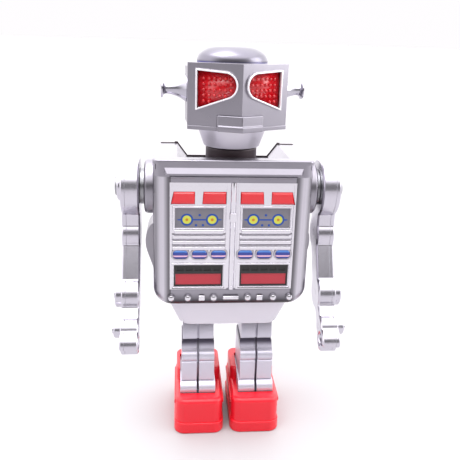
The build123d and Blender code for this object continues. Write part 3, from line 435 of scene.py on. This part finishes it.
def makeDialFinish():
    values = dialPrint
    material, tree, shader = newMaterial("dial")
    low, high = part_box("dial_plates")
    level = (low[2] + high[2]) / 2 + values["level"] * mm
    split = objectPlace(tree)
    across = mathNode(tree, "ABSOLUTE", split["X"])
    up = mathNode(tree, "SUBTRACT", split["Z"], level)

    def distance(x, z):
        dx = mathNode(tree, "SUBTRACT", across, x * mm)
        dz = mathNode(tree, "SUBTRACT", up, z * mm)
        square = mathNode(tree, "ADD", mathNode(tree, "MULTIPLY", dx, dx), mathNode(tree, "MULTIPLY", dz, dz))
        return mathNode(tree, "SQRT", square)

    def inside(value, limit):
        scaled = mathNode(tree, "DIVIDE", mathNode(tree, "SUBTRACT", limit * mm, value), values["fade"] * mm)
        return mathNode(tree, "ADD", scaled, 0.5, clamp=True)

    cloud = tree.nodes.new("ShaderNodeTexNoise")
    cloud.inputs["Scale"].default_value = values["clouds"]
    place = tree.nodes.new("ShaderNodeTexCoord")
    tree.links.new(place.outputs["Object"], cloud.inputs["Vector"])
    ground = tree.nodes.new("ShaderNodeMix")
    ground.data_type = "RGBA"
    tree.links.new(cloud.outputs["Fac"], ground.inputs["Factor"])
    ground.inputs[6].default_value = (*values["grey"], 1)
    ground.inputs[7].default_value = (*values["greyDark"], 1)
    color = ground.outputs[2]
    start, end = values["lineEnds"]
    middle = mathNode(tree, "ABSOLUTE", mathNode(tree, "SUBTRACT", across, (start + end) / 2 * mm))
    # the line narrows to a point at both ends
    left = mathNode(tree, "SUBTRACT", (end - start) / 2 * mm, middle)
    taper = mathNode(tree, "MULTIPLY", left, values["taper"])
    taper = mathNode(tree, "MINIMUM", taper, values["lineHalf"] * mm)
    thin = mathNode(tree, "SUBTRACT", taper, mathNode(tree, "ABSOLUTE", up))
    line = mathNode(tree, "ADD", mathNode(tree, "DIVIDE", thin, values["fade"] * mm), 0.5, clamp=True)
    color = paintOver(tree, color, line, values["blue"])
    for x in values["dials"]:
        away = distance(x, 0)
        color = paintOver(tree, color, inside(away, values["ringOuter"]), values["blue"])
        color = paintOver(tree, color, inside(away, values["ringInner"]), values["yellow"])
        color = paintOver(tree, color, inside(away, values["dot"]), values["orange"])
    for x, z in values["smallDots"]:
        color = paintOver(tree, color, inside(distance(x, z), values["smallDot"]), values["blue"])
    tree.links.new(color, shader.inputs["Base Color"])
    rough = tree.nodes.new("ShaderNodeMapRange")
    rough.inputs["To Min"].default_value = values["rough"][0]
    rough.inputs["To Max"].default_value = values["rough"][1]
    tree.links.new(cloud.outputs["Fac"], rough.inputs["Value"])
    tree.links.new(rough.outputs[0], shader.inputs["Roughness"])
    shader.inputs["Metallic"].default_value = values["metallic"]
    shader.inputs["Coat Weight"].default_value = values["coat"]
    return material


materials["dial"] = makeDialFinish()

# deep blue plastic, with painted light: a paler painted reflection towards the top of the button and a pink
# painted highlight under the middle
buttonBlue = {
    "deep": (0.006, 0.022, 0.22),
    "paintedLitTop": (0.02, 0.12, 0.42),
    "paintedGlint": (0.72, 0.42, 0.58),
    "stops": (
        (0.0, "deep"), (0.24, "deep"), (0.32, "paintedGlint"), (0.40, "paintedGlint"),
        (0.48, "deep"), (0.72, "deep"), (0.86, "paintedLitTop"),
    ),
    "rough": 0.16,
    "coat": 0.7,
    "coatRough": 0.05,
}


def makeButtonFinish():
    values = buttonBlue
    material, tree, shader = newMaterial("blue")
    low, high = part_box("oval_buttons")
    split = objectPlace(tree)
    share = tree.nodes.new("ShaderNodeMapRange")
    share.inputs["From Min"].default_value = low[2]
    share.inputs["From Max"].default_value = high[2]
    tree.links.new(split["Z"], share.inputs["Value"])
    # the ramp paints the highlight band and the paler lit top into the colour, up the button's height
    ramp = tree.nodes.new("ShaderNodeValToRGB")
    fillRamp(ramp, [(position, values[name]) for position, name in values["stops"]])
    tree.links.new(share.outputs[0], ramp.inputs["Fac"])
    tree.links.new(ramp.outputs["Color"], shader.inputs["Base Color"])
    shader.inputs["Roughness"].default_value = values["rough"]
    shader.inputs["Coat Weight"].default_value = values["coat"]
    shader.inputs["Coat Roughness"].default_value = values["coatRough"]
    return material


materials["blue"] = makeButtonFinish()

# darker bands, in mm above the edge of a node: the casing's lower edge and the blue foot of the dome
shadeBands = {
    "casing": {
        "base": "silver",
        "edge": ("torso_front_shell", "low"),
        "from": 4.8,
        "to": 0.9,
        "color": (0.03, 0.028, 0.034),
    },
    "dome": {
        "base": "domeSilver",
        "edge": ("head_back_shell", "high"),
        "from": 0.9,
        "to": 0.4,
        "color": (0.05, 0.045, 0.22),
    },
}


def makeShadedFinish(name, values):
    material = finish(name, finishValues[values["base"]])
    tree, shader, plain = openFinish(material)
    node, side = values["edge"]
    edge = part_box(node)[0 if side == "low" else 1][2]
    level = objectPlace(tree)["Z"]
    mask = smoothShare(tree, level, edge + values["from"] * mm, edge + values["to"] * mm)
    tree.links.new(paintOver(tree, plain, mask, values["color"]), shader.inputs["Base Color"])
    return material


for bandName, bandValues in shadeBands.items():
    materials[bandName] = makeShadedFinish(bandName, bandValues)

# painted light and shade on the rounded borders of the casing: upright dark and light bands, by distance from
# the middle in mm
borderPaintedShading = {
    "start": 17.3,
    "end": 22.3,
    "top": 80.8,
    "strength": 0.8,
    "stops": ((0.0, 0.06), (0.16, 0.15), (0.42, 0.66), (0.60, 0.60), (0.82, 0.20), (1.0, 0.33)),
    "tint": (1.0, 0.96, 1.06),
}


def addBorderPaintedShading(material):
    values = borderPaintedShading
    tree, shader, plain = openFinish(material)
    split = objectPlace(tree)
    across = mathNode(tree, "ABSOLUTE", split["X"])
    share = tree.nodes.new("ShaderNodeMapRange")
    share.inputs["From Min"].default_value = values["start"] * mm
    share.inputs["From Max"].default_value = values["end"] * mm
    tree.links.new(across, share.inputs["Value"])
    ramp = tree.nodes.new("ShaderNodeValToRGB")
    stops = [(position, [level * part for part in values["tint"]]) for position, level in values["stops"]]
    fillRamp(ramp, stops)
    tree.links.new(share.outputs[0], ramp.inputs["Fac"])
    # only the borders get this painted light and shade, up to the cornice
    outside = mathNode(tree, "GREATER_THAN", across, values["start"] * mm)
    underCornice = mathNode(tree, "LESS_THAN", split["Z"], values["top"] * mm)
    factor = mathNode(tree, "MULTIPLY", mathNode(tree, "MULTIPLY", outside, underCornice), values["strength"])
    mix = tree.nodes.new("ShaderNodeMix")
    mix.data_type = "RGBA"
    tree.links.new(factor, mix.inputs["Factor"])
    tree.links.new(plain, mix.inputs[6])
    tree.links.new(ramp.outputs["Color"], mix.inputs[7])
    tree.links.new(mix.outputs[2], shader.inputs["Base Color"])


addBorderPaintedShading(materials["casing"])

# the hollow of the knee is dark, sharply at its top and fading downwards, at levels in mm
kneeShade = {"fade": 23.8, "full": 26.8, "top": 27.6, "color": (0.07, 0.06, 0.09)}


def addKneeShade(material):
    values = kneeShade
    tree, shader, plain = openFinish(material)
    level = objectPlace(tree)["Z"]
    rising = smoothShare(tree, level, values["fade"] * mm, values["full"] * mm)
    under = mathNode(tree, "LESS_THAN", level, values["top"] * mm)
    mask = mathNode(tree, "MULTIPLY", rising, under)
    tree.links.new(paintOver(tree, plain, mask, values["color"]), shader.inputs["Base Color"])


materials["legs"] = finish("legs", finishValues["shinSilver"])
addKneeShade(materials["legs"])

slotFinish = {
    "silver_tin": "silver", "silver_plastic": "armSilver", "bezel_chrome": "chrome", "dial_print": "dial",
    "red_lens": "lightRed", "blue_lens": "blue", "black_plastic": "black", "dark_plastic": "dark",
    "red_plastic": "red", "ear_metal": "chrome", "steel": "steel", "brass": "brass",
}
nodeFinish = {
    "red_windows": "paneRed", "eye_lens_left": "eyeRed", "eye_lens_right": "eyeRed",
    "chest_panel": "panelSilver", "door_latch": "panelSilver",
    "torso_front_shell": "casing", "torso_back_shell": "casing", "head_dome": "dome",
    "pelvis_shell": "legSilver", "neck_bowl": "legSilver", "leg_left": "legs", "leg_right": "legs",
}
slotOf = {entry["node"]: entry["material_slot"] for entry in frame["record"]["subparts"]}
bodyOf = {node: body for body, members in frame["record"]["behaviour"]["bodies"].items() for node in members}


def paintNodes():
    for node, slot in slotOf.items():
        mesh = nodes[node].data
        mesh.materials.clear()
        mesh.materials.append(materials[nodeFinish.get(node, slotFinish[slot])])


def newPiece(name, drawn, node, finishName=None):
    mesh = bpy.data.meshes.new(name)
    drawn.to_mesh(mesh)
    drawn.free()
    mesh.materials.append(materials[finishName or nodeFinish.get(node, slotFinish[slotOf[node]])])
    piece = bpy.data.objects.new(name, mesh)
    bpy.context.scene.collection.objects.link(piece)
    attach(piece, bodyOf[node])
    return piece


def smoothFaces(drawn):
    for face in drawn.faces:
        face.smooth = True


def frontFace(drawn):
    facing = (face for face in drawn.faces if face.normal.y < -0.5)
    return max(facing, key=lambda face: face.calc_area())


def pushFaces(drawn, faces, move):
    made = bmesh.ops.extrude_face_region(drawn, geom=faces)["geom"]
    moved = [item for item in made if isinstance(item, bmesh.types.BMVert)]
    bmesh.ops.translate(drawn, verts=moved, vec=move)


def roundEdges(piece, name, radius, angle):
    bevel = piece.modifiers.new(name, "BEVEL")
    bevel.limit_method = "ANGLE"
    bevel.angle_limit = radians(angle)
    bevel.width = radius * mm
    bevel.segments = 2
    bevel.use_clamp_overlap = True


# radius in mm that each pressed or moulded edge is rounded to
softEdges = {
    "head_visor": 0.35, "head_back_shell": 0.4, "mouth_grille": 0.2, "pelvis_shell": 0.3, "torso_deck": 0.2,
    "chest_panel": 0.12, "door_latch": 0.12, "arm_left_inner": 0.35, "arm_left_outer": 0.35,
    "arm_right_inner": 0.35, "arm_right_outer": 0.35, "leg_left": 0.4, "leg_right": 0.4,
    "boot_left": 0.35, "boot_right": 0.35, "boot_sole_left": 0.2, "boot_sole_right": 0.2,
    "window_grilles": 0.08, "chest_lights": 0.12, "winding_key": 0.3,
}
edgeSharp = 24  # degrees past which an edge is rounded
trimSharp = 50  # the same on the trim
flatWeight = 80  # how strongly broad faces keep their flat shading


def mergedCopy(node):
    drawn = bmesh.new()
    drawn.from_mesh(nodes[node].data)
    bmesh.ops.remove_doubles(drawn, verts=drawn.verts, dist=1e-6)
    bmesh.ops.dissolve_limit(drawn, angle_limit=radians(0.5), verts=drawn.verts, edges=drawn.edges)
    smoothFaces(drawn)
    return drawn


def softenNode(node, radius):
    drawn = mergedCopy(node)
    piece = newPiece("soft_" + node, drawn, node)
    roundEdges(piece, "edges", radius, edgeSharp)
    evened = piece.modifiers.new("shading", "WEIGHTED_NORMAL")
    evened.weight = flatWeight
    evened.keep_sharp = True
    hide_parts(node)


makeCamera()
for lightName in ("key", "side"):
    makeLight(lightName + "Light", lightValues[lightName])
makeWorld()
bpy.context.scene.view_settings.view_transform = "Standard"
print("camera, lights and world made")
paintNodes()
print("materials on the frame")
for softNode, softRadius in softEdges.items():
    softenNode(softNode, softRadius)
print("edges rounded:", len(softEdges))

# a bright rounded rim round each eye
eyeRim = {"width": 0.42, "lift": 0.3, "height": 0.8, "round": 0.12}


def makeEyeRim(node):
    values = eyeRim
    drawn = mergedCopy(node)
    front = frontFace(drawn)
    outwards = front.normal.copy()
    bmesh.ops.delete(drawn, geom=[face for face in drawn.faces if face is not front], context="FACES")
    lens = drawn.faces[:][0]
    outline = [loop.vert.co.copy() for loop in lens.loops]
    # each corner of the outline moves out along its two edges' middle direction
    spread = []
    for index, point in enumerate(outline):
        before = (point - outline[index - 1]).normalized().cross(outwards)
        after = (outline[(index + 1) % len(outline)] - point).normalized().cross(outwards)
        spread.append((before + after) / (1 + before.dot(after)) * values["width"] * mm)
    made = bmesh.ops.extrude_edge_only(drawn, edges=drawn.edges[:])["geom"]
    for item in made:
        if isinstance(item, bmesh.types.BMVert):
            nearest = min(range(len(outline)), key=lambda index: (outline[index] - item.co).length)
            item.co += spread[nearest]
    bmesh.ops.delete(drawn, geom=[lens], context="FACES_ONLY")
    ring = drawn.faces[:]
    bmesh.ops.translate(drawn, verts=drawn.verts, vec=outwards * values["lift"] * mm)
    pushFaces(drawn, ring, outwards * values["height"] * mm)
    bmesh.ops.recalc_face_normals(drawn, faces=drawn.faces)
    smoothFaces(drawn)
    piece = newPiece("rim_" + node, drawn, "head_visor", "rimSilver")
    roundEdges(piece, "round", values["round"], trimSharp)


# each eye is a red lens covered with rows of small domes, in mm but for the flattening and the count of rows
eyeDots = {"pitch": 1.5, "radius": 0.5, "flatten": 0.8, "margin": 0.45, "offLens": 0.02, "rows": 8}


def makeEye(node):
    values = eyeDots
    drawn = mergedCopy(node)
    front = frontFace(drawn)
    outwards = front.normal.copy()
    across = outwards.cross(Vector((0, 0, 1))).normalized()
    up = across.cross(outwards)
    middle = front.calc_center_median()
    tree = BVHTree.FromBMesh(drawn)
    level = middle.dot(outwards)

    def onLens(point):
        start = point + outwards * mm
        hit = tree.ray_cast(start, -outwards)
        return hit[0] is not None and abs(hit[0].dot(outwards) - level) < values["offLens"] * mm

    margin = values["margin"] * mm
    turned = Matrix((across, up, outwards)).transposed().to_4x4()
    count = 0
    steps = range(-values["rows"], values["rows"] + 1)
    pitch = values["pitch"] * mm
    places = [middle + across * (i * pitch) + up * (j * pitch) for i in steps for j in steps]
    for place in places:
        around = (place + across * margin, place - across * margin, place + up * margin, place - up * margin)
        if not all(onLens(point) for point in around):
            continue
        shape = Matrix.Translation(place) @ turned @ Matrix.Diagonal((1, 1, values["flatten"], 1))
        radius = values["radius"] * mm
        dome = bmesh.ops.create_uvsphere(drawn, u_segments=8, v_segments=6, radius=radius, matrix=shape)
        for vert in dome["verts"]:
            for face in vert.link_faces:
                face.smooth = True
        count += 1
    piece = newPiece("dotted_" + node, drawn, node)
    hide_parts(node)
    print(node, "domes:", count)


for eyeNode in ("eye_lens_left", "eye_lens_right"):
    makeEye(eyeNode)
    makeEyeRim(eyeNode)

# raised bars and frames pressed into the doors; bars run from a low to a high level, in mm above
# the middle of the dial plate, stand up by rise and stop short by shorter at both ends
chestTrim = {
    "bars": (
        {"low": -6.05, "high": -5.05, "rise": 0.55, "shorter": 0},
        {"low": -7.7, "high": -6.65, "rise": 0.55, "shorter": 0},
        {"low": -9.4, "high": -8.4, "rise": 0.55, "shorter": 0},
        {"low": -4.45, "high": -3.35, "rise": 0.85, "shorter": 0.5},
    ),
    "barOver": 0.7,  # past the dial plate at both ends
    "barRound": 0.22,
    "plateWidth": 13.4,
    "windowWidth": 13.9,
    "frame": 0.7,
    "frameRise": 0.45,
    "round": 0.14,
    "proud": 0.2,  # from the front of the dial plates out to the level that the trim stands on
    "rootBars": 0.3,  # how far the bars and the frames go in behind that level
    "rootFrames": 0.1,
}


def roundedBar(drawn, low, high, soft):
    made = bmesh.ops.create_cube(drawn, size=1.0)
    size = Vector(high) - Vector(low)
    middle = (Vector(high) + Vector(low)) / 2
    bmesh.ops.scale(drawn, verts=made["verts"], vec=size)
    bmesh.ops.translate(drawn, verts=made["verts"], vec=middle)
    edges = list({edge for vert in made["verts"] for edge in vert.link_edges})
    bmesh.ops.bevel(drawn, geom=edges, offset=soft, segments=3, profile=0.5, affect="EDGES", material=-1)


def makeFrame(drawn, left, right, low, high, back):
    width = chestTrim["frame"] * mm
    made = bmesh.ops.create_grid(drawn, x_segments=1, y_segments=1, size=0.5)
    corners = made["verts"]
    bmesh.ops.scale(drawn, verts=corners, vec=(right - left + 2 * width, high - low + 2 * width, 1))
    bmesh.ops.rotate(drawn, verts=corners, cent=(0, 0, 0), matrix=Matrix.Rotation(radians(90), 3, "X"))
    bmesh.ops.translate(drawn, verts=corners, vec=((left + right) / 2, back, (low + high) / 2))
    face = corners[0].link_faces[0]
    bmesh.ops.inset_region(drawn, faces=[face], thickness=width, use_boundary=True)
    ring = [item for edge in face.edges for item in edge.link_faces if item is not face]
    bmesh.ops.delete(drawn, geom=[face], context="FACES")
    pushFaces(drawn, ring, (0, -chestTrim["frameRise"] * mm, 0))


def makeChestTrim():
    values = chestTrim
    drawn = bmesh.new()
    plateLow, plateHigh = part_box("dial_plates")
    windowLow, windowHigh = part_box("window_grilles")
    face = plateLow[1] - values["proud"] * mm
    middle = (plateLow[2] + plateHigh[2]) / 2
    plateInner = plateHigh[0] - values["plateWidth"] * mm
    windowInner = windowHigh[0] - values["windowWidth"] * mm
    over = values["barOver"] * mm
    for bar in values["bars"]:
        shorter = bar["shorter"] * mm
        barLow = (plateInner - over + shorter, face - bar["rise"] * mm, middle + bar["low"] * mm)
        barHigh = (plateHigh[0] + over - shorter, face + values["rootBars"] * mm, middle + bar["high"] * mm)
        roundedBar(drawn, barLow, barHigh, values["barRound"] * mm)
    back = face + values["rootFrames"] * mm
    makeFrame(drawn, plateInner, plateHigh[0], plateLow[2], plateHigh[2], back)
    makeFrame(drawn, windowInner, windowHigh[0], windowLow[2], windowHigh[2], back)
    everything = drawn.verts[:] + drawn.edges[:] + drawn.faces[:]
    bmesh.ops.mirror(drawn, geom=everything, matrix=Matrix.Identity(4), merge_dist=0.0, axis="X")
    bmesh.ops.recalc_face_normals(drawn, faces=drawn.faces)
    smoothFaces(drawn)
    piece = newPiece("chestTrim", drawn, "chest_panel")
    roundEdges(piece, "round", values["round"], trimSharp)
    evened = piece.modifiers.new("shading", "WEIGHTED_NORMAL")
    evened.weight = flatWeight


makeChestTrim()

# domed and square heads along the belt, in mm from the middle, the casing's foot and its front
beltStuds = {
    "domes": (4.95, 12.4, 17.2),
    "radius": 1.15,
    "rise": 0.75,  # share of the radius that a dome stands out
    "level": 3.0,
    "front": 0.9,
    "squares": ((-8.4, 0.9, 0.8), (0.0, 2.3, 0.5), (8.4, 0.9, 0.8)),  # place, half width, half height
    "squareRise": 0.66,
    "root": 0.3,
    "round": 0.25,
}


def makeBeltStuds():
    values = beltStuds
    drawn = bmesh.new()
    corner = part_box("torso_front_shell")[0]
    level = corner[2] + values["level"] * mm
    front = corner[1] + values["front"] * mm
    radius = values["radius"] * mm
    flatter = Matrix.Diagonal((1, values["rise"], 1, 1))
    for place in values["domes"]:
        for side in (-1, 1):
            shape = Matrix.Translation((side * place * mm, front, level)) @ flatter
            bmesh.ops.create_uvsphere(drawn, u_segments=20, v_segments=12, radius=radius, matrix=shape)
    for place, half, tall in values["squares"]:
        start = ((place - half) * mm, front - values["squareRise"] * mm, level - tall * mm)
        end = ((place + half) * mm, front + values["root"] * mm, level + tall * mm)
        roundedBar(drawn, start, end, values["round"] * mm)
    smoothFaces(drawn)
    newPiece("beltStuds", drawn, "chest_panel")


makeBeltStuds()

# a thin dark lip stands up along the deck's back edge as painted shade, drawing the dark outline of the
# shoulders
deckShadeLip = {"height": 0.5, "depth": 0.35, "edge": 0.05}


def makeDeckShadeLip():
    values = deckShadeLip
    drawn = mergedCopy("torso_deck")
    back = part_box("torso_deck")[1][1] - values["edge"] * mm
    edges = []
    for edge in drawn.edges:
        if any(vert.co.y < back for vert in edge.verts) or len(edge.link_faces) != 2:
            continue
        normals = [face.normal for face in edge.link_faces]
        if max(normal.y for normal in normals) > 0.9 and max(normal.z for normal in normals) > 0.3:
            edges.append(edge)
    made = bmesh.ops.extrude_edge_only(drawn, edges=edges)["geom"]
    walls = [item for item in made if isinstance(item, bmesh.types.BMFace)]
    raised = [item for item in made if isinstance(item, bmesh.types.BMVert)]
    bmesh.ops.translate(drawn, verts=raised, vec=(0, 0, values["height"] * mm))
    bmesh.ops.delete(drawn, geom=[face for face in drawn.faces if face not in walls], context="FACES")
    pushFaces(drawn, drawn.faces[:], (0, -values["depth"] * mm, 0))
    bmesh.ops.recalc_face_normals(drawn, faces=drawn.faces)
    newPiece("deckShadeLip", drawn, "torso_deck", "dark")
    print("deck lip of", len(edges), "edges")


makeDeckShadeLip()
print("trim, studs and lip made")

# the floor
floorValues = {"half": 12.0, "color": (0.40, 0.395, 0.405), "rough": 0.6}


def makeFloor():
    drawn = bmesh.new()
    bmesh.ops.create_grid(drawn, x_segments=8, y_segments=8, size=floorValues["half"])
    mesh = bpy.data.meshes.new("floor")
    drawn.to_mesh(mesh)
    drawn.free()
    piece = bpy.data.objects.new("floor", mesh)
    bpy.context.scene.collection.objects.link(piece)
    material, tree, shader = newMaterial("floorWhite")
    shader.inputs["Base Color"].default_value = (*floorValues["color"], 1)
    shader.inputs["Roughness"].default_value = floorValues["rough"]
    mesh.materials.append(material)


makeFloor()
